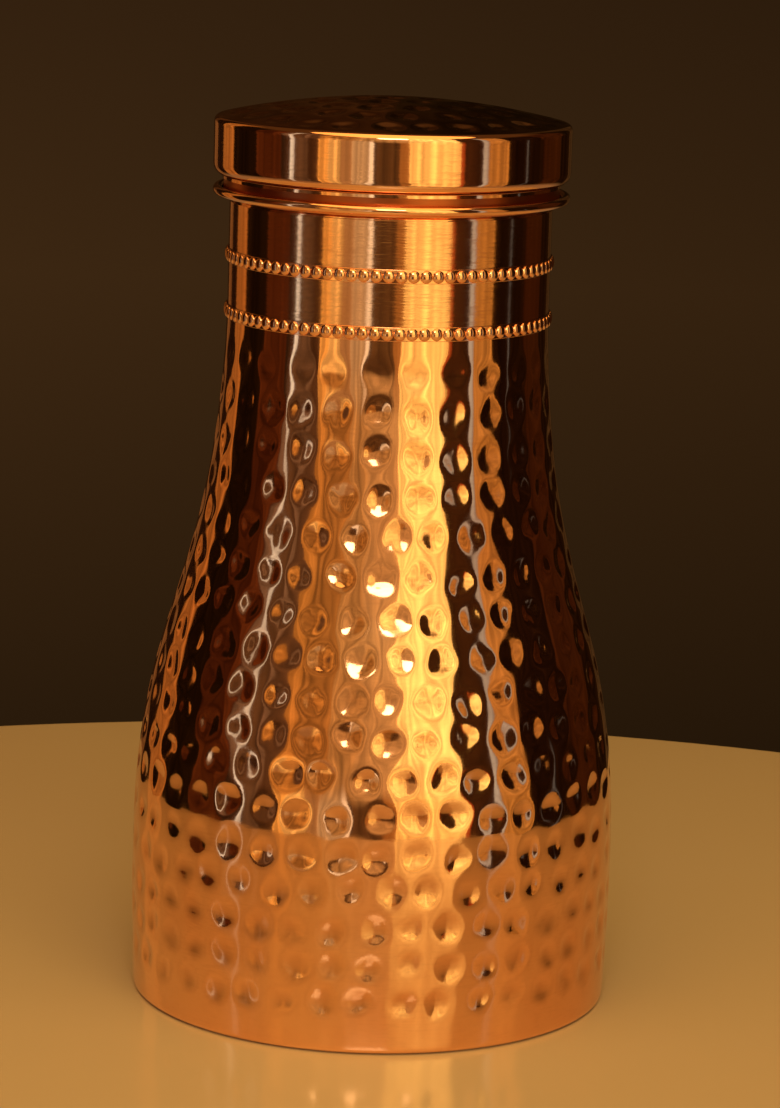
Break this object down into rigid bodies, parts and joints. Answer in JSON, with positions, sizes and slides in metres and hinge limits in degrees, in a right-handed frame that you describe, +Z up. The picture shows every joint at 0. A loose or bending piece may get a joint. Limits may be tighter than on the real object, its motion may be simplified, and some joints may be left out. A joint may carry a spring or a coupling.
{
  "type": "water bottle",
  "caption": "Hammered copper water bottle with a tapering bell body, a wide beaded neck, a flared mouth and a lift-off domed lid.",
  "frame": {"origin": "centre of the base, on the surface that the bottle stands on", "axes": "+Z up along the axis of revolution; the part is round, so +X and +Y have no preferred side"},
  "size_m": [0.115, 0.115, 0.2137],
  "materials": {
    "hammered_copper": "polished",
    "polished_copper": "polished",
    "beaded_copper": "polished",
    "lid_copper": "polished",
    "inner_copper": "satin",
    "base_copper": "satin"
  },
  "bodies": {
    "bottle": {"body_shell": "hammered_copper", "base_plate": "base_copper", "neck_tube": "polished_copper", "mouth_ring": "polished_copper", "lower_beaded_ring": "beaded_copper", "upper_beaded_ring": "beaded_copper"},
    "lid": {"lid_shell": "lid_copper", "lid_pan": "inner_copper", "plug_skirt": "inner_copper"}
  },
  "joints": [
    {"name": "lid_lift", "type": "slide", "parent": "bottle", "child": "lid", "axis": [0, 0, 1], "range_m": [0, 0.03]}
  ]
}
